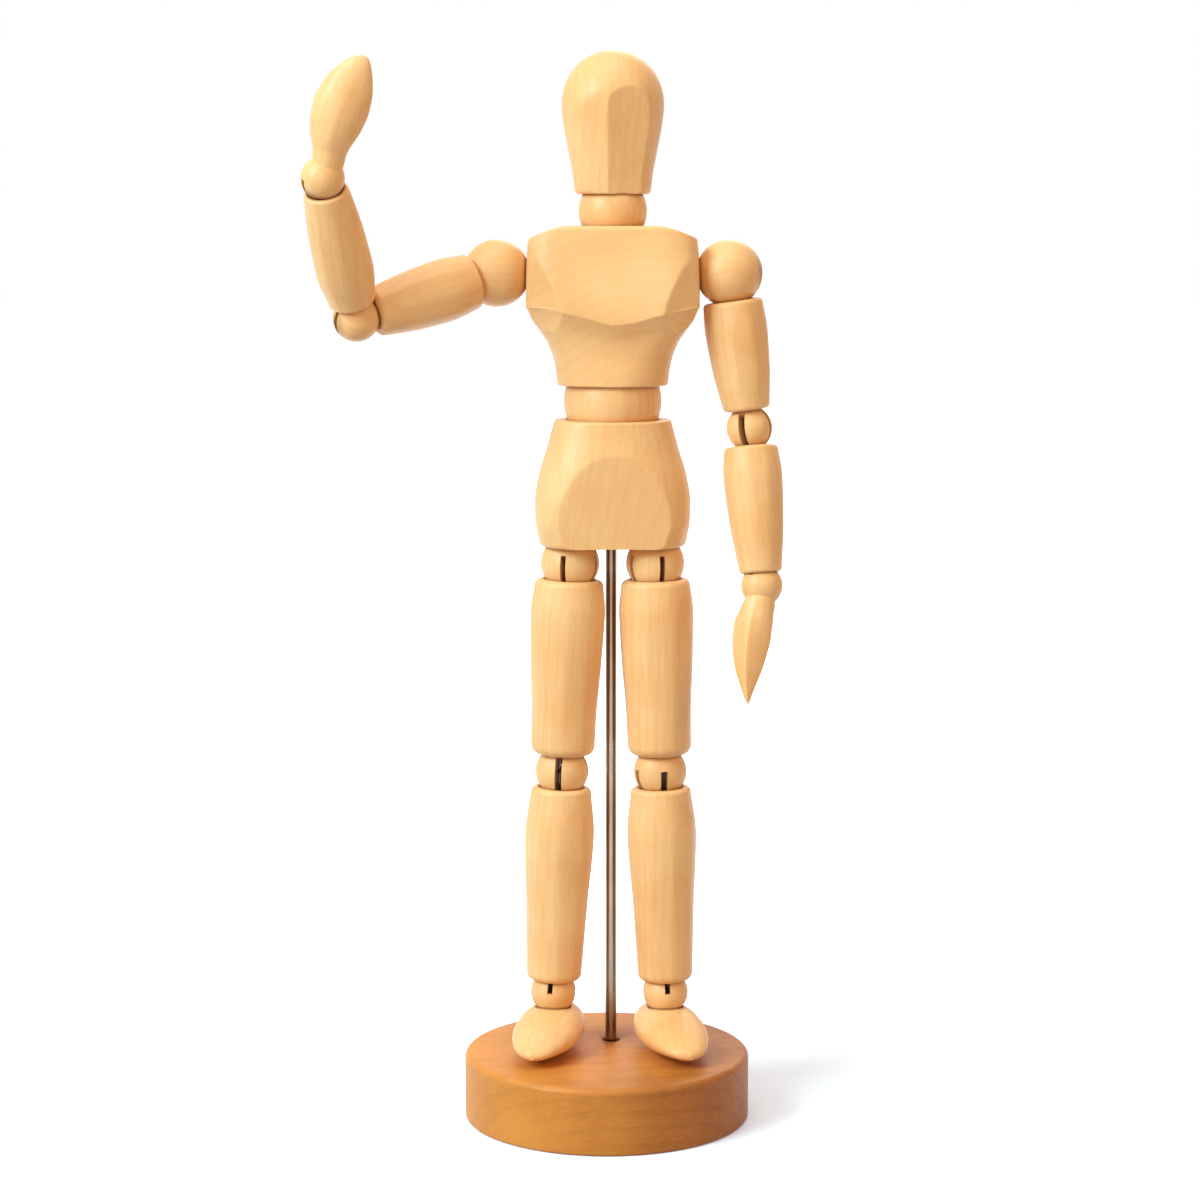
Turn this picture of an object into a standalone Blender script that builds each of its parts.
"""Wooden artist mannequin on a rod stand, right arm raised in a wave.

Metres, +Z up. The figure faces -Y. The origin is the centre of the base's underside.
Each limb is built about its upper joint with its length along local -Z, and is then hung
from an empty that stands on that joint.
"""
import math

import bmesh
import bpy
from mathutils import Matrix, Vector

OBJECT_NAME = "artist_mannequin"

# Clearances
GAP = 0.0003
SOLE_CLEARANCE = 0.0007

# Base and rod
BASE_RADIUS = 0.0405
BASE_HEIGHT = 0.0189
BASE_TOP_ROUND = 0.0024
BASE_FOOT_ROUND = 0.0008
ROD_RADIUS = 0.0016
ROD_X = 0.0012
ROD_Y = 0.0100
ROD_HOLE_DEPTH = 0.0148
ROD_COUNTERSINK_RADIUS = 0.0027
ROD_COUNTERSINK_DEPTH = 0.0016
ROD_IN_PELVIS = 0.0255
ROD_TIP_ROUND = 0.0006
PELVIS_BORE_END = 0.0015

# Places of the figure on the stand
BODY_X = 0.0016
BODY_Y = 0.0045
LEG_Y = 0.0028

# Balls
NECK_BALL_RADIUS = 0.0095
WAIST_BALL_RADIUS = 0.0137
SHOULDER_BALL_RADIUS = 0.0093
ELBOW_BALL_RADIUS = 0.0064
WRIST_BALL_RADIUS = 0.0059
HIP_BALL_RADIUS = 0.0082
KNEE_BALL_RADIUS = 0.0075
ANKLE_BALL_RADIUS = 0.0064

# Heights of the body blocks and how far each face stands from its ball's centre
PELVIS_HEIGHT = 0.0356
CHEST_HEIGHT = 0.0442
HEAD_HEIGHT = 0.0393
HIP_SEAT = 0.0048
PELVIS_WAIST_SEAT = 0.0051
CHEST_WAIST_SEAT = 0.0045
CHEST_NECK_SEAT = 0.0041
HEAD_NECK_SEAT = 0.0046

# Joint centres across the body
HIP_SPREAD = 0.0120
SHOULDER_SPREAD = 0.0324
SHOULDER_DROP = 0.0131

# Limbs between joint centres
THIGH_LENGTH = 0.0595
SHIN_LENGTH = 0.0642
UPPER_ARM_LENGTH = 0.0436
FOREARM_LENGTH = 0.0443
HAND_LENGTH = 0.0343
ANKLE_HEIGHT = 0.0155

# Head
HEAD_RADIUS = 0.0142
HEAD_CHIN_RADIUS = 0.0105
HEAD_WIDEST_HEIGHT = 0.0248
HEAD_CHIN_ROUND = 0.0012
HEAD_DOME_ANGLES = [math.radians(degrees) for degrees in (14, 28, 42, 56, 70, 80)]
HEAD_JAW_SHARES = (1.0, 0.72, 0.45, 0.2)
HEAD_JAW_POWER = 1.7
FACE_RIDGE_X = -0.0012
FACE_PLANE_YAW = math.radians(19.0)
FACE_TOP_HEIGHT = 0.0280
FACE_TOP_DEPTH = 0.0142
FACE_CHIN_DEPTH = 0.0091

# Pelvis facet, an inclined flat whose edge is the arch on the front
PELVIS_FACET_TOP = 0.0098
PELVIS_FACET_TOP_DEPTH = 0.0156
PELVIS_FACET_FOOT_DEPTH = 0.0126

# Inner hardware
LIMB_BORE_RADIUS = 0.0027
TAIL_BORE_RADIUS = 0.0010
SLOT_WIDTH = 0.0014
STRIP_THICKNESS = 0.0008
STRIP_HALF_WIDTH = 0.0013
STRIP_LENGTH = 0.0125
PIN_RADIUS = 0.0005
EYE_RADIUS = 0.0015
PIN_WALL = 0.0012
BALL_BRIDGE = 0.0023
WIRE_RADIUS = 0.00035
COIL_RADIUS = 0.0019
COIL_PITCH = 0.0034
TAIL_EYE_OFFSET = 0.0030
TAIL_EYE_RADIUS = 0.0008
SHOULDER_STRIP_LENGTH = 0.0155
SPINE_STRIP_REACH = 0.0050
SPINE_EYE_DEPTH = 0.0015
SPINE_COIL_PITCH = 0.0012
WAIST_SPRING_ROOM = 0.0155
HIP_SPRING_ROOM = 0.0225
ARM_SPRING_TURNS = 3.0
LEG_SPRING_TURNS = 4.0
SHORT_SPRING_TURNS = 2.5
CROSS_SPRING_TURNS = 6.0
SLOT_HALF_SWEEP = math.radians(110.0)
SHOULDER_SLOT = (math.radians(-66.0), math.radians(97.0))
SPINE_SLOT_SWEEP = math.radians(38.0)
HAND_SLOT_FLOOR = 0.0018
HAND_SLOT_SWEEP = math.radians(75.0)

# Limb ends as (ball radius, seat, rim radius, corner round) and fullest turn as (distance, radius)
UPPER_ARM_TOP = (SHOULDER_BALL_RADIUS, 0.0077, 0.0078, 0.0016)
UPPER_ARM_BOTTOM = (ELBOW_BALL_RADIUS, 0.0052, 0.0066, 0.0023)
UPPER_ARM_WIDEST = (0.0168, 0.0088)
FOREARM_TOP = (ELBOW_BALL_RADIUS, 0.0051, 0.0068, 0.0023)
FOREARM_BOTTOM = (WRIST_BALL_RADIUS, 0.0036, 0.0063, 0.0012)
FOREARM_WIDEST = (0.0148, 0.0086)
THIGH_TOP = (HIP_BALL_RADIUS, 0.0045, 0.0098, 0.0022)
THIGH_BOTTOM = (KNEE_BALL_RADIUS, 0.0049, 0.0091, 0.0026)
THIGH_WIDEST = (0.0115, 0.0107)
SHIN_TOP = (KNEE_BALL_RADIUS, 0.0045, 0.0086, 0.0017)
SHIN_BOTTOM = (ANKLE_BALL_RADIUS, 0.0037, 0.0079, 0.0022)
SHIN_WIDEST = (0.0168, 0.0100)

# Half widths and depths of the carved pieces at their fullest
PELVIS_HALF_WIDTH = 0.0219
PELVIS_DEPTH = 0.0169
CHEST_HALF_WIDTH = 0.0241
CHEST_DEPTH = 0.0170
HAND_HALF_THICKNESS = 0.0049
HAND_HALF_WIDTH = 0.0067
FOOT_TOE = 0.0253
FOOT_HALF_WIDTH = 0.0093

# Pelvis from its foot up: height, half width, front, back as shares, and squareness
PELVIS_RINGS = (
    (0.0, 0.86, 0.835, 0.835, 2.4),
    (0.039, 0.932, 0.906, 0.918, 2.5),
    (0.19, 0.991, 0.982, 0.988, 2.6),
    (0.344, 1.0, 1.0, 1.006, 2.6),
    (0.553, 0.95, 0.971, 0.976, 2.6),
    (0.777, 0.842, 0.918, 0.924, 2.5),
    (0.972, 0.751, 0.882, 0.882, 2.3),
    (1.0, 0.724, 0.853, 0.853, 2.3),
)

# Chest from its top down: depth below the top, half width, front, back, squareness, V drop
CHEST_RINGS = (
    (0.0, 0.545, 0.647, 0.647, 2.6, 0.0),
    (0.08, 0.959, 0.775, 0.728, 4.0, 0.0),
    (0.133, 0.988, 0.827, 0.763, 5.0, 0.0),
    (0.332, 0.992, 0.925, 0.809, 5.0, 0.027),
    (0.5, 1.0, 1.0, 0.832, 5.0, 0.115),
    (0.52, 0.988, 0.983, 0.832, 5.0, 0.124),
    (0.549, 0.935, 0.861, 0.832, 4.4, 0.133),
    (0.73, 0.772, 0.821, 0.832, 3.0, 0.053),
    (0.852, 0.683, 0.838, 0.844, 2.5, 0.0),
    (0.982, 0.65, 0.867, 0.867, 2.3, 0.0),
    (1.0, 0.634, 0.844, 0.844, 2.3, 0.0),
)

# Hand from the wrist ball down: distance, half thickness, half width, squareness
HAND_RINGS = (
    (0.188, 0.72, 0.544, 2.0),
    (0.284, 0.88, 0.779, 1.9),
    (0.44, 1.0, 1.0, 1.8),
    (0.611, 0.92, 0.956, 1.7),
    (0.781, 0.68, 0.735, 1.7),
    (0.909, 0.42, 0.456, 1.8),
    (0.983, 0.18, 0.206, 2.0),
    (1.0, 0.06, 0.074, 2.0),
)

# Foot from heel to toe: distance ahead, half width, sole and instep below the ankle
FOOT_RINGS = (
    (-0.45, 0.174, -0.658, -0.51),
    (-0.418, 0.435, -0.792, -0.416),
    (-0.313, 0.696, -0.913, -0.322),
    (-0.141, 0.88, -0.987, -0.275),
    (0.08, 0.978, -1.0, -0.268),
    (0.321, 1.0, -1.0, -0.356),
    (0.502, 0.957, -0.973, -0.456),
    (0.683, 0.837, -0.919, -0.564),
    (0.851, 0.63, -0.846, -0.658),
    (0.964, 0.37, -0.792, -0.698),
    (1.0, 0.13, -0.765, -0.732),
)

# Pose in the photograph, as directions from joint to joint
WAVE_PLANE = Vector((-0.503, 0.776, 0.381)).normalized()
WAVE_UPPER_ARM = (-0.953, -0.303)
WAVE_FOREARM = (-0.174, 0.985)
WAVE_HAND = (0.348, 0.937)
HANG_UPPER_ARM_LEAN = math.radians(7.8)
HANG_FOREARM_LEAN = math.radians(4.5)
HANG_FOREARM_PITCH = math.radians(8.0)
HANG_HAND_LEAN = math.radians(-6.6)
HANG_HAND_PITCH = math.radians(22.0)
LEG_LEAN = {"right": math.radians(-2.3), "left": math.radians(1.5)}
TOE_OUT = {"right": math.radians(-12.0), "left": math.radians(16.0)}
SIDE_SIGN = {"right": -1.0, "left": 1.0}
HIP_BALL_TURN = {"right": math.radians(-14.0), "left": math.radians(14.0)}
KNEE_BALL_TURN = {"right": math.radians(-8.0), "left": math.radians(8.0)}
ANKLE_BALL_TURN = {"right": math.radians(-9.0), "left": math.radians(5.0)}

# Facets
TURN_STEPS = 16
BALL_STEPS = 14
BALL_ARC_STEPS = 7
BASE_STEPS = 40
SECTION_POINTS = 24
COIL_POINTS = 6
DISH_STEPS = 20
DISH_ARC_STEPS = 14
BORE_STEPS = 12
PIN_STEPS = 8
ROD_STEPS = 16
EYE_POINTS = 6
HAND_POINTS = 14
FOOT_POINTS = 18
CREASE_ANGLE = math.radians(40.0)
WELD = 0.000005

DOWN = Vector((0.0, 0.0, -1.0))
FRONT = Vector((0.0, -1.0, 0.0))
SIDEWAYS = Vector((1.0, 0.0, 0.0))
ACROSS = Matrix.Rotation(math.pi / 2.0, 4, "Y")

# Colour, roughness and metallic value of each finish
FINISHES = {
    "pale_wood": ((0.86, 0.58, 0.32, 1.0), 0.45, 0.0),
    "base_wood": ((0.50, 0.24, 0.10, 1.0), 0.5, 0.0),
    "polished_steel": ((0.62, 0.62, 0.63, 1.0), 0.25, 1.0),
    "spring_steel": ((0.45, 0.45, 0.46, 1.0), 0.35, 1.0),
}


def clear_scene():
    for obj in list(bpy.data.objects):
        bpy.data.objects.remove(obj, do_unlink=True)


def new_collection(name):
    collection = bpy.data.collections.new(name)
    bpy.context.scene.collection.children.link(collection)
    return collection


def new_material(name, finish):
    colour, roughness, metallic = FINISHES[finish]
    material = bpy.data.materials.new(name)
    material.use_nodes = True
    shader = material.node_tree.nodes["Principled BSDF"]
    shader.inputs["Base Color"].default_value = colour
    shader.inputs["Roughness"].default_value = roughness
    shader.inputs["Metallic"].default_value = metallic
    material.diffuse_color = colour
    return material


def joint_frame(centre, down, pin):
    """Axes of a joint: local -Z along the limb, local X along the pin."""
    up = -down.normalized()
    side = (pin - up * pin.dot(up)).normalized()
    back = up.cross(side)
    frame = Matrix((side, back, up)).transposed().to_4x4()
    frame.translation = centre
    return frame


def joint_empty(name, centre, down, pin):
    empty = bpy.data.objects.new(name, None)
    empty.empty_display_size = 0.005
    parts.objects.link(empty)
    empty.matrix_world = joint_frame(centre, down, pin)
    return empty


def add_part(name, mesh, empty, finish):
    obj = bpy.data.objects.new(name, mesh)
    parts.objects.link(obj)
    obj.parent = empty
    mesh.materials.clear()
    mesh.materials.append(new_material(name, finish))
    return obj


def add_cutter(name, mesh, empty):
    obj = bpy.data.objects.new(name, mesh)
    cutters.objects.link(obj)
    obj.parent = empty
    obj.hide_render = True
    obj.display_type = "WIRE"
    return obj


def boolean(obj, cutter, operation="DIFFERENCE"):
    modifier = obj.modifiers.new(cutter.name, "BOOLEAN")
    modifier.operation = operation
    modifier.solver = "EXACT"
    modifier.object = cutter


def mesh_from_bmesh(name, bm):
    bmesh.ops.recalc_face_normals(bm, faces=bm.faces[:])
    if bm.calc_volume(signed=True) < 0.0:
        bmesh.ops.reverse_faces(bm, faces=bm.faces[:])
    mesh = bpy.data.meshes.new(name)
    bm.to_mesh(mesh)
    bm.free()
    mesh.shade_smooth()
    mesh.set_sharp_from_angle(angle=CREASE_ANGLE)
    return mesh


def evaluated_mesh(obj, name):
    """The mesh of a curve or a modified object, with its seams welded; the source is removed."""
    bpy.context.view_layer.update()
    graph = bpy.context.evaluated_depsgraph_get()
    mesh = bpy.data.meshes.new_from_object(obj.evaluated_get(graph))
    bpy.data.objects.remove(obj, do_unlink=True)
    bm = bmesh.new()
    bm.from_mesh(mesh)
    bpy.data.meshes.remove(mesh)
    bmesh.ops.remove_doubles(bm, verts=bm.verts[:], dist=WELD)
    return mesh_from_bmesh(name, bm)


def arc(centre_r, centre_z, radius, start, end, count):
    """Points of an arc in the profile plane, its two ends included."""
    points = []
    for i in range(count + 1):
        angle = start + (end - start) * i / count
        points.append((centre_r + radius * math.cos(angle), centre_z + radius * math.sin(angle)))
    return points


def turned_mesh(name, profile, closed, steps):
    """A profile of (radius, height) points, turned about Z with a Screw modifier."""
    mesh = bpy.data.meshes.new(name)
    edges = [(i, i + 1) for i in range(len(profile) - 1)]
    if closed:
        edges.append((len(profile) - 1, 0))
    mesh.from_pydata([(r, 0.0, z) for r, z in profile], edges, [])
    obj = bpy.data.objects.new(name, mesh)
    parts.objects.link(obj)
    screw = obj.modifiers.new("turn", "SCREW")
    screw.axis = "Z"
    screw.angle = 2.0 * math.pi
    screw.steps = steps
    screw.render_steps = steps
    screw.use_merge_vertices = True
    screw.merge_threshold = 0.00001
    return evaluated_mesh(obj, name)


def plate_mesh(name, outline, hole, thickness):
    """A flat plate in the local YZ plane, from closed outlines, centred on X = 0."""
    curve = bpy.data.curves.new(name, "CURVE")
    curve.dimensions = "2D"
    curve.fill_mode = "BOTH"
    curve.extrude = thickness / 2.0
    for points in (outline, hole):
        if points:
            spline = curve.splines.new("POLY")
            spline.points.add(len(points) - 1)
            for point, (y, z) in zip(spline.points, points):
                point.co = (y, z, 0.0, 1.0)
            spline.use_cyclic_u = True
    obj = bpy.data.objects.new(name, curve)
    parts.objects.link(obj)
    mesh = evaluated_mesh(obj, name)
    mesh.transform(Matrix(((0, 0, 1, 0), (1, 0, 0, 0), (0, 1, 0, 0), (0, 0, 0, 1))))
    return mesh


def wire_mesh(name, points, radius):
    """A wire along a list of points, with closed ends."""
    curve = bpy.data.curves.new(name, "CURVE")
    curve.dimensions = "3D"
    curve.bevel_depth = radius
    curve.bevel_resolution = 0
    curve.use_fill_caps = True
    spline = curve.splines.new("POLY")
    spline.points.add(len(points) - 1)
    for point, place in zip(spline.points, points):
        point.co = (*place, 1.0)
    obj = bpy.data.objects.new(name, curve)
    parts.objects.link(obj)
    return evaluated_mesh(obj, name)


def cylinder_mesh(name, radius, depth, matrix, segments):
    bm = bmesh.new()
    bmesh.ops.create_cone(bm, cap_ends=True, segments=segments, radius1=radius, radius2=radius,
                          depth=depth, matrix=matrix)
    return mesh_from_bmesh(name, bm)


def box_mesh(name, size, matrix):
    bm = bmesh.new()
    bmesh.ops.create_cube(bm, size=1.0, matrix=matrix @ Matrix.Diagonal((*size, 1.0)))
    return mesh_from_bmesh(name, bm)


def dish_mesh(name, radius, centre):
    """A sphere whose flats, not its corners, stand at the radius, so that a ball turns in it."""
    corner = radius / math.cos(math.pi / DISH_STEPS) / math.cos(math.pi / (2.0 * DISH_ARC_STEPS))
    bm = bmesh.new()
    bmesh.ops.create_uvsphere(bm, u_segments=DISH_STEPS, v_segments=DISH_ARC_STEPS, radius=corner,
                              matrix=Matrix.Translation(centre))
    return mesh_from_bmesh(name, bm)


def signed_power(value, power):
    return math.copysign(abs(value) ** power, value)


def section(half_width, front, back, power):
    """A rounded section: (x, y) points with its own depth to the front and to the back."""
    points = []
    for i in range(SECTION_POINTS):
        angle = 2.0 * math.pi * i / SECTION_POINTS
        x = half_width * signed_power(math.cos(angle), 2.0 / power)
        y = signed_power(math.sin(angle), 2.0 / power)
        points.append((x, y * (back if y > 0.0 else front)))
    return points


def loft_mesh(name, rings):
    """A solid through rings of points that all have the same count, its ends filled."""
    bm = bmesh.new()
    loops = [[bm.verts.new(point) for point in ring] for ring in rings]
    for lower, upper in zip(loops, loops[1:]):
        for i in range(len(lower)):
            j = (i + 1) % len(lower)
            bm.faces.new((lower[i], lower[j], upper[j], upper[i]))
    bm.faces.new(loops[0])
    bm.faces.new(loops[-1])
    return mesh_from_bmesh(name, bm)


def limb_mesh(name, length, top, bottom, widest, bore=LIMB_BORE_RADIUS):
    """A turned limb with a cup at each end and a bore right through.

    top and bottom are (ball radius, seat, rim radius, corner round); widest is (distance, radius).
    """
    top_ball, top_seat, top_radius, top_round = top
    bottom_ball, bottom_seat, bottom_radius, bottom_round = bottom
    widest_at, widest_radius = widest
    top_z = -top_seat
    bottom_z = bottom_seat - length
    profile = arc(top_radius - top_round, top_z - top_round, top_round, math.pi / 2.0, 0.0, 2)
    start_z = top_z - top_round
    for i in (1, 2):
        share = i / 2.0
        radius = top_radius + (widest_radius - top_radius) * math.sin(share * math.pi / 2.0)
        profile.append((radius, start_z + (-widest_at - start_z) * share))
    end_z = bottom_z + bottom_round
    for i in range(1, 5):
        share = i / 5.0
        ease = (math.cos(math.pi * share) + 1.0) / 2.0
        radius = bottom_radius + (widest_radius - bottom_radius) * ease
        profile.append((radius, -widest_at + (end_z + widest_at) * share))
    profile += arc(bottom_radius - bottom_round, end_z, bottom_round, 0.0, -math.pi / 2.0, 2)
    bottom_cup = bottom_ball + GAP
    top_cup = top_ball + GAP
    profile += arc(0.0, -length, bottom_cup, math.asin(bottom_seat / bottom_cup),
                   math.acos(bore / bottom_cup), 2)
    profile += arc(0.0, 0.0, top_cup, -math.acos(bore / top_cup),
                   -math.asin(top_seat / top_cup), 2)
    return turned_mesh(name, profile, True, TURN_STEPS)


def ball_mesh(name, radius, bore_depth):
    """A ball with a blind bore for the spring's tail, down from its upper pole."""
    rim = math.acos(TAIL_BORE_RADIUS / radius)
    bore_floor = radius - bore_depth
    profile = [(0.0, bore_floor), (TAIL_BORE_RADIUS, bore_floor)]
    profile += arc(0.0, 0.0, radius, rim, -math.pi / 2.0, BALL_ARC_STEPS)
    profile[-1] = (0.0, -radius)
    return turned_mesh(name, profile, False, BALL_STEPS)


def slot_outline(reach, above, start, end):
    """A fan from angle start to end, measured from local -Z towards +Y, round a hub."""
    outline = []
    steps = 6
    for i in range(steps + 1):
        angle = start + (end - start) * i / steps
        outline.append((reach * math.sin(angle), -reach * math.cos(angle)))
    hub_steps = 4
    hub_start = end
    hub_end = start + 2.0 * math.pi
    for i in range(hub_steps + 1):
        angle = hub_start + (hub_end - hub_start) * i / hub_steps
        outline.append((above * math.sin(angle), -above * math.cos(angle)))
    return outline


def slotted_ball(name, radius, empty, start, end, pin_hole=True):
    """A ball whose slot takes the next limb's strip. The slot runs round from start to end."""
    hub = radius - BALL_BRIDGE
    ball = add_part(name, ball_mesh(name, radius, BALL_BRIDGE + GAP), empty, "pale_wood")
    cut_slot(ball, name, radius, hub, empty, start, end, pin_hole)
    return ball


def cut_slot(ball, name, radius, hub, empty, start, end, pin_hole):
    outline = slot_outline(2.0 * radius, hub, start, end)
    slot = add_cutter(name + "_slot", plate_mesh(name + "_slot", outline, None, SLOT_WIDTH), empty)
    boolean(ball, slot)
    if pin_hole:
        hole = cylinder_mesh(name + "_pin_hole", PIN_RADIUS + GAP, pin_length(radius) + 2.0 * GAP,
                             ACROSS, PIN_STEPS)
        boolean(ball, add_cutter(name + "_pin_hole", hole, empty))
    else:
        bar = cylinder_mesh(name + "_bar", PIN_RADIUS, SLOT_WIDTH + 4.0 * PIN_RADIUS, ACROSS,
                            PIN_STEPS)
        boolean(ball, add_cutter(name + "_bar", bar, empty), "UNION")


def pin_length(radius):
    return 2.0 * (radius - PIN_WALL)


def add_pin(name, radius, empty):
    pin = cylinder_mesh(name, PIN_RADIUS, pin_length(radius), ACROSS, PIN_STEPS)
    add_part(name, pin, empty, "polished_steel")


def add_strip(name, empty, length=STRIP_LENGTH):
    """The flat eye strip that runs from a ball's pin into the bore of the next limb."""
    eye = PIN_RADIUS + GAP
    outline = [(STRIP_HALF_WIDTH, -length), (STRIP_HALF_WIDTH, -EYE_RADIUS)]
    outline += [(EYE_RADIUS * math.cos(a), EYE_RADIUS * math.sin(a))
                for a in (math.radians(d) for d in (0, 36, 72, 108, 144, 180))]
    outline += [(-STRIP_HALF_WIDTH, -EYE_RADIUS), (-STRIP_HALF_WIDTH, -length)]
    hole = [(eye * math.cos(a), eye * math.sin(a))
            for a in (math.radians(d) for d in range(0, 360, 45))]
    add_part(name, plate_mesh(name, outline, hole, STRIP_THICKNESS), empty, "spring_steel")


def eye_points(centre_z, radius):
    """An open ring in the YZ plane round centre_z, entered from above."""
    points = []
    for i in range(EYE_POINTS + 1):
        angle = math.pi / 2.0 + math.radians(300.0) * i / EYE_POINTS
        points.append((0.0, radius * math.cos(angle), centre_z + radius * math.sin(angle)))
    return points


def spring_points(coil_top, turns, pitch, eye_z, eye_radius):
    """A coil along Z that starts at coil_top, runs down and ends in a tail with an eye."""
    points = []
    count = int(round(turns * COIL_POINTS))
    for i in range(count + 1):
        angle = 2.0 * math.pi * i / COIL_POINTS
        points.append((COIL_RADIUS * math.cos(angle), COIL_RADIUS * math.sin(angle),
                       coil_top - pitch * i / COIL_POINTS))
    coil_end = points[-1][2]
    points.append((0.0, 0.0, coil_end - COIL_RADIUS))
    return points + eye_points(eye_z, eye_radius)


def add_spring(name, empty, turns, tail_start, eye_z=TAIL_EYE_OFFSET, eye_radius=TAIL_EYE_RADIUS,
               pitch=COIL_PITCH):
    """A coil in the limb above a ball; the empty stands on the ball's centre, limb along +Z."""
    coil_top = tail_start + COIL_RADIUS + turns * pitch
    points = spring_points(coil_top, turns, pitch, eye_z, eye_radius)
    add_part(name, wire_mesh(name, points, WIRE_RADIUS), empty, "spring_steel")


def pointing(flat):
    """A direction in the arm's plane whose view from the front is flat, an (x, z) pair."""
    x, z = flat
    y = -(WAVE_PLANE.x * x + WAVE_PLANE.z * z) / WAVE_PLANE.y
    return Vector((x, y, z)).normalized()


def leaning(lean, pitch=0.0):
    """Downwards, leaning sideways to +X and pitched forwards to -Y."""
    return Matrix.Rotation(-pitch, 3, "X") @ Vector((math.sin(lean), 0.0, -math.cos(lean)))


def bend_pin(upper, lower, like):
    """The pin that two limbs bend about, square to both and on the side of like."""
    pin = upper.cross(lower).normalized()
    return pin if pin.dot(like) > 0.0 else -pin


def leg_drop(side):
    return (THIGH_LENGTH + SHIN_LENGTH) * math.cos(LEG_LEAN[side])


# Heights that follow from the stand upwards
HIP_Z = BASE_HEIGHT + SOLE_CLEARANCE + ANKLE_HEIGHT + max(leg_drop("right"), leg_drop("left"))
PELVIS_FOOT_Z = HIP_Z + HIP_SEAT
WAIST_Z = PELVIS_FOOT_Z + PELVIS_HEIGHT + PELVIS_WAIST_SEAT
CHEST_FOOT_Z = WAIST_Z + CHEST_WAIST_SEAT
CHEST_TOP_Z = CHEST_FOOT_Z + CHEST_HEIGHT
NECK_Z = CHEST_TOP_Z + CHEST_NECK_SEAT
HEAD_FOOT_Z = NECK_Z + HEAD_NECK_SEAT
SHOULDER_Z = CHEST_TOP_Z - SHOULDER_DROP
ROD_TOP_Z = PELVIS_FOOT_Z + ROD_IN_PELVIS


def make_base():
    empty = joint_empty("base_place", Vector((0.0, 0.0, 0.0)), DOWN, SIDEWAYS)
    profile = [(0.0, BASE_HEIGHT)]
    profile += arc(BASE_RADIUS - BASE_TOP_ROUND, BASE_HEIGHT - BASE_TOP_ROUND, BASE_TOP_ROUND,
                   math.pi / 2.0, 0.0, 4)
    profile += arc(BASE_RADIUS - BASE_FOOT_ROUND, BASE_FOOT_ROUND, BASE_FOOT_ROUND,
                   0.0, -math.pi / 2.0, 2)
    profile.append((0.0, 0.0))
    base = add_part("base", turned_mesh("base", profile, False, BASE_STEPS), empty, "base_wood")
    hole = [(0.0, BASE_HEIGHT + ROD_RADIUS), (ROD_COUNTERSINK_RADIUS, BASE_HEIGHT + ROD_RADIUS),
            (ROD_COUNTERSINK_RADIUS, BASE_HEIGHT),
            (ROD_RADIUS + GAP, BASE_HEIGHT - ROD_COUNTERSINK_DEPTH),
            (ROD_RADIUS + GAP, BASE_HEIGHT - ROD_HOLE_DEPTH), (0.0, BASE_HEIGHT - ROD_HOLE_DEPTH)]
    rod_place = joint_empty("rod_place", Vector((ROD_X, ROD_Y, 0.0)), DOWN, SIDEWAYS)
    boolean(base, add_cutter("rod_hole", turned_mesh("rod_hole", hole, False, ROD_STEPS), rod_place))
    foot = BASE_HEIGHT - ROD_HOLE_DEPTH + GAP
    rod = [(0.0, ROD_TOP_Z), (ROD_RADIUS - ROD_TIP_ROUND, ROD_TOP_Z),
           (ROD_RADIUS, ROD_TOP_Z - ROD_TIP_ROUND), (ROD_RADIUS, foot), (0.0, foot)]
    add_part("rod", turned_mesh("rod", rod, False, ROD_STEPS), rod_place, "polished_steel")


def body_section(height, half_width, front, back, power, drop=0.0):
    """One ring of a body block; drop lowers the middle of its front into a V."""
    ring = []
    for x, y in section(half_width, front, back, power):
        ahead = max(0.0, -y / front)
        lower = drop * ahead * max(0.0, 1.0 - abs(x) / half_width)
        ring.append((x, y, height - lower))
    return ring


def make_pelvis():
    place = Vector((BODY_X, BODY_Y, PELVIS_FOOT_Z))
    empty = joint_empty("pelvis_place", place, DOWN, SIDEWAYS)
    rings = [body_section(z * PELVIS_HEIGHT, width * PELVIS_HALF_WIDTH, front * PELVIS_DEPTH,
                          back * PELVIS_DEPTH, power)
             for z, width, front, back, power in PELVIS_RINGS]
    pelvis = add_part("pelvis", loft_mesh("pelvis", rings), empty, "pale_wood")
    top = Vector((0.0, -PELVIS_FACET_TOP_DEPTH, PELVIS_HEIGHT - PELVIS_FACET_TOP))
    foot = Vector((0.0, -PELVIS_FACET_FOOT_DEPTH, 0.0))
    boolean(pelvis, facet_cutter("pelvis_facet", top, foot, 0.0, empty))
    ball_dish(pelvis, "waist", WAIST_BALL_RADIUS,
              Vector((0.0, 0.0, PELVIS_HEIGHT + PELVIS_WAIST_SEAT)), empty)
    spring_bore(pelvis, "pelvis_waist_bore", Vector((0.0, 0.0, PELVIS_HEIGHT)), DOWN,
                WAIST_SPRING_ROOM, empty)
    for side, sign in SIDE_SIGN.items():
        hip = Vector((sign * HIP_SPREAD, LEG_Y - BODY_Y, -HIP_SEAT))
        ball_dish(pelvis, side + "_hip", HIP_BALL_RADIUS, hip, empty)
        spring_bore(pelvis, side + "_hip_bore", hip, -leaning(LEG_LEAN[side]), HIP_SPRING_ROOM, empty)
    rod_depth = ROD_IN_PELVIS + PELVIS_BORE_END
    rod_bore = cylinder_mesh("pelvis_rod_bore", ROD_RADIUS + GAP, 2.0 * rod_depth,
                             Matrix.Translation((ROD_X - BODY_X, ROD_Y - BODY_Y, 0.0)),
                             BORE_STEPS)
    boolean(pelvis, add_cutter("pelvis_rod_bore", rod_bore, empty))


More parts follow.
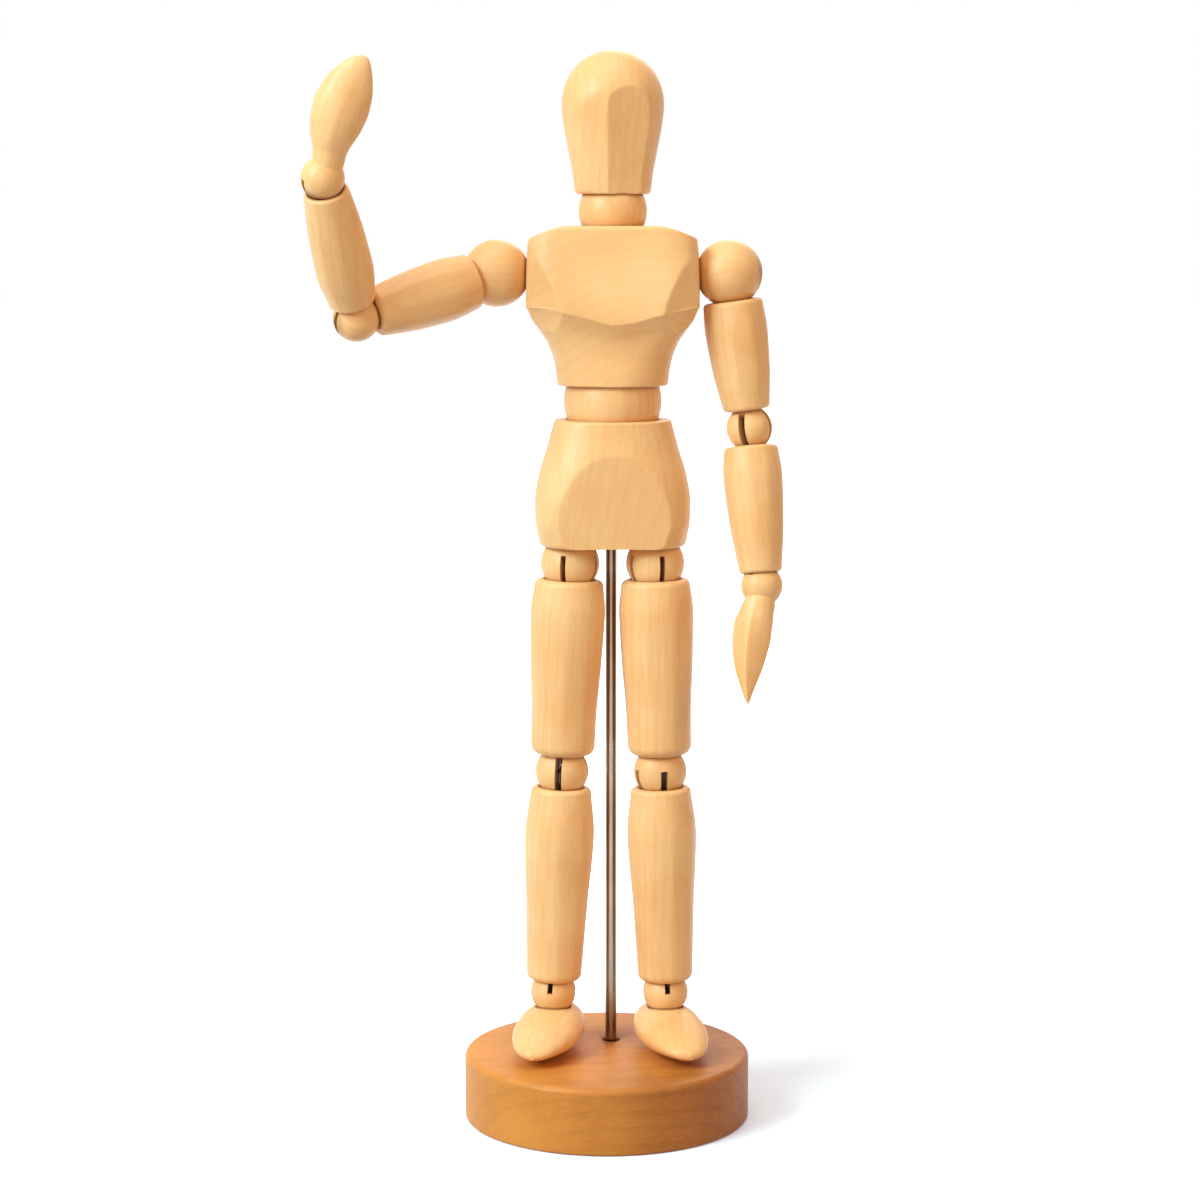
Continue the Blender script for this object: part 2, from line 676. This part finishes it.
def facet_cutter(name, top, foot, yaw, empty):
    """A block whose back face is the carved flat through two points, turned by yaw about Z."""
    size = 0.2
    slope = math.atan2(foot.y - top.y, top.z - foot.z)
    middle = (top + foot) / 2.0
    matrix = (Matrix.Translation(middle) @ Matrix.Rotation(yaw, 4, "Z")
              @ Matrix.Rotation(slope, 4, "X") @ Matrix.Translation((0.0, -size / 2.0, 0.0)))
    return add_cutter(name, box_mesh(name, (size, size, size), matrix), empty)


def ball_dish(block, name, radius, centre, empty):
    dish = dish_mesh(name + "_dish", radius + GAP, centre)
    boolean(block, add_cutter(name + "_dish", dish, empty))


def spring_bore(block, name, start, direction, depth, empty):
    turn = direction.to_track_quat("Z", "Y").to_matrix().to_4x4()
    middle = Matrix.Translation(start + direction * depth / 2.0)
    bore = cylinder_mesh(name, LIMB_BORE_RADIUS, depth, middle @ turn, BORE_STEPS)
    boolean(block, add_cutter(name, bore, empty))


def shoulder_offset(side):
    """How far a shoulder ball's centre stands from the body's middle, to the right or left."""
    return SIDE_SIGN[side] * SHOULDER_SPREAD


def make_chest():
    place = Vector((BODY_X, BODY_Y, CHEST_TOP_Z))
    empty = joint_empty("chest_place", place, DOWN, SIDEWAYS)
    rings = [body_section(-z * CHEST_HEIGHT, width * CHEST_HALF_WIDTH, front * CHEST_DEPTH,
                          back * CHEST_DEPTH, power, drop * CHEST_HEIGHT)
             for z, width, front, back, power, drop in CHEST_RINGS]
    chest = add_part("chest", loft_mesh("chest", rings), empty, "pale_wood")
    ball_dish(chest, "neck", NECK_BALL_RADIUS, Vector((0.0, 0.0, CHEST_NECK_SEAT)), empty)
    waist = Vector((0.0, 0.0, -CHEST_HEIGHT - CHEST_WAIST_SEAT))
    ball_dish(chest, "chest_waist", WAIST_BALL_RADIUS, waist, empty)
    spring_bore(chest, "chest_neck_bore", Vector((0.0, 0.0, 0.0)), DOWN, CHEST_HEIGHT, empty)
    for side in SIDE_SIGN:
        shoulder = Vector((shoulder_offset(side), 0.0, -SHOULDER_DROP))
        ball_dish(chest, side + "_shoulder", SHOULDER_BALL_RADIUS, shoulder, empty)
    start, end = shoulder_offset("right"), shoulder_offset("left")
    cross = Vector((start, 0.0, -SHOULDER_DROP))
    spring_bore(chest, "chest_cross_bore", cross, SIDEWAYS, end - start, empty)


def make_head():
    place = Vector((BODY_X, BODY_Y, HEAD_FOOT_Z))
    empty = joint_empty("head_place", place, DOWN, SIDEWAYS)
    dome = HEAD_HEIGHT - HEAD_WIDEST_HEIGHT
    profile = [(0.0, HEAD_HEIGHT)]
    for angle in HEAD_DOME_ANGLES:
        profile.append((HEAD_RADIUS * math.sin(angle), HEAD_WIDEST_HEIGHT + dome * math.cos(angle)))
    for share in HEAD_JAW_SHARES:
        ease = 1.0 - (1.0 - share) ** HEAD_JAW_POWER
        radius = HEAD_CHIN_RADIUS + (HEAD_RADIUS - HEAD_CHIN_RADIUS) * ease
        profile.append((radius, HEAD_CHIN_ROUND + (HEAD_WIDEST_HEIGHT - HEAD_CHIN_ROUND) * share))
    profile += arc(HEAD_CHIN_RADIUS - HEAD_CHIN_ROUND, HEAD_CHIN_ROUND, HEAD_CHIN_ROUND,
                   0.0, -math.pi / 2.0, 2)
    profile.append((0.0, 0.0))
    head = add_part("head", turned_mesh("head", profile, False, SECTION_POINTS), empty, "pale_wood")
    top = Vector((FACE_RIDGE_X, -FACE_TOP_DEPTH, FACE_TOP_HEIGHT))
    chin = Vector((FACE_RIDGE_X, -FACE_CHIN_DEPTH, 0.0))
    for side, sign in SIDE_SIGN.items():
        boolean(head, facet_cutter(side + "_face_plane", top, chin, sign * FACE_PLANE_YAW, empty))
    ball_dish(head, "head_neck", NECK_BALL_RADIUS, Vector((0.0, 0.0, -HEAD_NECK_SEAT)), empty)
    spring_bore(head, "head_bore", Vector((0.0, 0.0, 0.0)), -DOWN, STRIP_LENGTH, empty)


def make_spine():
    for name, z, radius in (("neck", NECK_Z, NECK_BALL_RADIUS), ("waist", WAIST_Z, WAIST_BALL_RADIUS)):
        centre = Vector((BODY_X, BODY_Y, z))
        ball_place = joint_empty(name + "_ball_place", centre, -DOWN, SIDEWAYS)
        slotted_ball(name + "_ball", radius, ball_place, -SPINE_SLOT_SWEEP, SPINE_SLOT_SWEEP,
                     pin_hole=False)
        add_spring(name + "_spring", ball_place, SHORT_SPRING_TURNS, radius + WIRE_RADIUS,
                   radius - BALL_BRIDGE - SPINE_EYE_DEPTH, TAIL_EYE_RADIUS, SPINE_COIL_PITCH)
        add_strip(name + "_strip", ball_place, radius + SPINE_STRIP_REACH)
    centre = Vector((BODY_X, BODY_Y, SHOULDER_Z))
    cross_place = joint_empty("shoulder_spring_place", centre, SIDEWAYS, -DOWN)
    add_part("shoulder_spring", wire_mesh("shoulder_spring", cross_spring_points(), WIRE_RADIUS),
             cross_place, "spring_steel")


def cross_spring_points():
    """A coil along local Z between the shoulder balls, with a straight tail into each."""
    turns = CROSS_SPRING_TURNS
    half = turns * COIL_PITCH / 2.0
    reach = SHOULDER_BALL_RADIUS - BALL_BRIDGE
    left_tail = shoulder_offset("left") - reach
    right_tail = shoulder_offset("right") + reach
    points = [(0.0, 0.0, left_tail), (0.0, 0.0, half + COIL_RADIUS)]
    count = int(round(turns * COIL_POINTS))
    for i in range(count + 1):
        angle = 2.0 * math.pi * i / COIL_POINTS
        points.append((COIL_RADIUS * math.cos(angle), COIL_RADIUS * math.sin(angle),
                       half - COIL_PITCH * i / COIL_POINTS))
    return points + [(0.0, 0.0, -half - COIL_RADIUS), (0.0, 0.0, right_tail)]


def make_arm(side, upper_arm, forearm, hand, shoulder_pin, across):
    sign = SIDE_SIGN[side]
    elbow_pin = bend_pin(upper_arm, forearm, across)
    wrist_pin = bend_pin(forearm, hand, across)
    shoulder = Vector((BODY_X + shoulder_offset(side), BODY_Y, SHOULDER_Z))
    elbow = shoulder + upper_arm * UPPER_ARM_LENGTH
    wrist = elbow + forearm * FOREARM_LENGTH
    ball_place = joint_empty(side + "_shoulder_ball_place", shoulder, SIDEWAYS * sign, shoulder_pin)
    slotted_ball(side + "_shoulder_ball", SHOULDER_BALL_RADIUS, ball_place, *SHOULDER_SLOT,
                 pin_hole=False)
    strip_place = joint_empty(side + "_shoulder_place", shoulder, upper_arm, shoulder_pin)
    add_strip(side + "_shoulder_strip", strip_place, SHOULDER_STRIP_LENGTH)
    arm_place = joint_empty(side + "_upper_arm_place", shoulder, upper_arm, elbow_pin)
    mesh = limb_mesh(side + "_upper_arm", UPPER_ARM_LENGTH, UPPER_ARM_TOP, UPPER_ARM_BOTTOM,
                     UPPER_ARM_WIDEST)
    add_part(side + "_upper_arm", mesh, arm_place, "pale_wood")
    elbow_place = joint_empty(side + "_elbow_ball_place", elbow, upper_arm, elbow_pin)
    slotted_ball(side + "_elbow_ball", ELBOW_BALL_RADIUS, elbow_place, -SLOT_HALF_SWEEP,
                 SLOT_HALF_SWEEP)
    add_pin(side + "_elbow_pin", ELBOW_BALL_RADIUS, elbow_place)
    add_spring(side + "_upper_arm_spring", elbow_place, ARM_SPRING_TURNS,
               ELBOW_BALL_RADIUS + WIRE_RADIUS)
    forearm_place = joint_empty(side + "_forearm_place", elbow, forearm, elbow_pin)
    mesh = limb_mesh(side + "_forearm", FOREARM_LENGTH, FOREARM_TOP, FOREARM_BOTTOM,
                     FOREARM_WIDEST)
    add_part(side + "_forearm", mesh, forearm_place, "pale_wood")
    add_strip(side + "_elbow_strip", forearm_place)
    spring_place = joint_empty(side + "_forearm_spring_place", wrist, forearm, wrist_pin)
    add_spring(side + "_forearm_spring", spring_place, ARM_SPRING_TURNS,
               WRIST_BALL_RADIUS + WIRE_RADIUS, 0.0, PIN_RADIUS + GAP + WIRE_RADIUS)
    hand_place = joint_empty(side + "_hand_place", wrist, hand, wrist_pin)
    make_hand(side + "_hand", hand_place)
    add_pin(side + "_wrist_pin", WRIST_BALL_RADIUS, hand_place)


def make_hand(name, empty):
    """The wrist ball and the hand are one turned and carved piece."""
    rings = []
    pole = math.radians(12.0)
    for i in range(7):
        angle = pole + (math.radians(136.0) - pole) * i / 6
        radius = WRIST_BALL_RADIUS * math.sin(angle)
        rings.append(hand_ring(WRIST_BALL_RADIUS * math.cos(angle), radius, radius, 2.0))
    for distance, thin, wide, power in HAND_RINGS:
        rings.append(hand_ring(-distance * HAND_LENGTH, thin * HAND_HALF_THICKNESS,
                               wide * HAND_HALF_WIDTH, power))
    hand = add_part(name, loft_mesh(name, rings), empty, "pale_wood")
    cut_slot(hand, name, WRIST_BALL_RADIUS, HAND_SLOT_FLOOR, empty,
             math.pi - HAND_SLOT_SWEEP, math.pi + HAND_SLOT_SWEEP, True)


def hand_ring(z, thin, wide, power):
    ring = []
    for i in range(HAND_POINTS):
        angle = 2.0 * math.pi * i / HAND_POINTS
        ring.append((thin * signed_power(math.cos(angle), 2.0 / power),
                     wide * signed_power(math.sin(angle), 2.0 / power), z))
    return ring


def turned_pin(angle):
    """The direction of a ball's pin, turned about the upright from straight across the body."""
    return Matrix.Rotation(angle, 3, "Z") @ SIDEWAYS


def make_leg(side):
    sign = SIDE_SIGN[side]
    leg = leaning(LEG_LEAN[side])
    hip_pin = turned_pin(HIP_BALL_TURN[side])
    knee_pin = turned_pin(KNEE_BALL_TURN[side])
    ankle_pin = turned_pin(ANKLE_BALL_TURN[side])
    hip = Vector((BODY_X + sign * HIP_SPREAD, LEG_Y, HIP_Z))
    knee = hip + leg * THIGH_LENGTH
    ankle = knee + leg * SHIN_LENGTH
    ball_place = joint_empty(side + "_hip_ball_place", hip, leg, hip_pin)
    slotted_ball(side + "_hip_ball", HIP_BALL_RADIUS, ball_place, -SLOT_HALF_SWEEP,
                 SLOT_HALF_SWEEP, pin_hole=False)
    add_spring(side + "_hip_spring", ball_place, SHORT_SPRING_TURNS, HIP_BALL_RADIUS + WIRE_RADIUS)
    thigh_place = joint_empty(side + "_thigh_place", hip, leg, hip_pin)
    mesh = limb_mesh(side + "_thigh", THIGH_LENGTH, THIGH_TOP, THIGH_BOTTOM, THIGH_WIDEST)
    add_part(side + "_thigh", mesh, thigh_place, "pale_wood")
    add_strip(side + "_hip_strip", thigh_place)
    knee_place = joint_empty(side + "_knee_ball_place", knee, leg, knee_pin)
    slotted_ball(side + "_knee_ball", KNEE_BALL_RADIUS, knee_place, -SLOT_HALF_SWEEP,
                 SLOT_HALF_SWEEP)
    add_pin(side + "_knee_pin", KNEE_BALL_RADIUS, knee_place)
    add_spring(side + "_thigh_spring", knee_place, LEG_SPRING_TURNS, KNEE_BALL_RADIUS + WIRE_RADIUS)
    shin_place = joint_empty(side + "_shin_place", knee, leg, knee_pin)
    mesh = limb_mesh(side + "_shin", SHIN_LENGTH, SHIN_TOP, SHIN_BOTTOM, SHIN_WIDEST)
    add_part(side + "_shin", mesh, shin_place, "pale_wood")
    add_strip(side + "_knee_strip", shin_place)
    spring_place = joint_empty(side + "_shin_spring_place", ankle, leg, ankle_pin)
    add_spring(side + "_shin_spring", spring_place, LEG_SPRING_TURNS,
               ANKLE_BALL_RADIUS + WIRE_RADIUS, 0.0, PIN_RADIUS + GAP + WIRE_RADIUS)
    ankle_place = joint_empty(side + "_ankle_ball_place", ankle, -leg, ankle_pin)
    slotted_ball(side + "_ankle_ball", ANKLE_BALL_RADIUS, ankle_place, -SLOT_HALF_SWEEP,
                 SLOT_HALF_SWEEP)
    add_pin(side + "_ankle_pin", ANKLE_BALL_RADIUS, ankle_place)
    toe = Matrix.Rotation(TOE_OUT[side], 3, "Z") @ FRONT
    foot_place = joint_empty(side + "_foot_place", ankle, DOWN, toe.cross(DOWN))
    make_foot(side + "_foot", foot_place)


def make_foot(name, empty):
    """An egg-shaped foot lofted from heel to toe, with a flat sole that lifts at both ends."""
    rings = []
    for ahead, width, sole, instep in FOOT_RINGS:
        middle = (sole + instep) / 2.0 * ANKLE_HEIGHT
        half_height = (instep - sole) / 2.0 * ANKLE_HEIGHT
        ring = []
        for i in range(FOOT_POINTS):
            angle = 2.0 * math.pi * i / FOOT_POINTS
            power = 2.0 if math.sin(angle) > 0.0 else 3.2
            x = width * FOOT_HALF_WIDTH * signed_power(math.cos(angle), 2.0 / power)
            z = middle + half_height * signed_power(math.sin(angle), 2.0 / power)
            ring.append((x, -ahead * FOOT_TOE, z))
        rings.append(ring)
    foot = add_part(name, loft_mesh(name, rings), empty, "pale_wood")
    ball_dish(foot, name, ANKLE_BALL_RADIUS, Vector((0.0, 0.0, 0.0)), empty)


def make_figure():
    make_base()
    make_pelvis()
    make_chest()
    make_head()
    make_spine()
    waving = (pointing(WAVE_UPPER_ARM), pointing(WAVE_FOREARM), pointing(WAVE_HAND))
    make_arm("right", *waving, SIDEWAYS.cross(waving[0]), WAVE_PLANE)
    hanging = (leaning(HANG_UPPER_ARM_LEAN), leaning(HANG_FOREARM_LEAN, HANG_FOREARM_PITCH),
               leaning(HANG_HAND_LEAN, HANG_HAND_PITCH))
    make_arm("left", *hanging, -FRONT, SIDEWAYS)
    make_leg("right")
    make_leg("left")


clear_scene()
parts = new_collection(OBJECT_NAME)
cutters = new_collection("cutters")
make_figure()
bpy.context.view_layer.update()
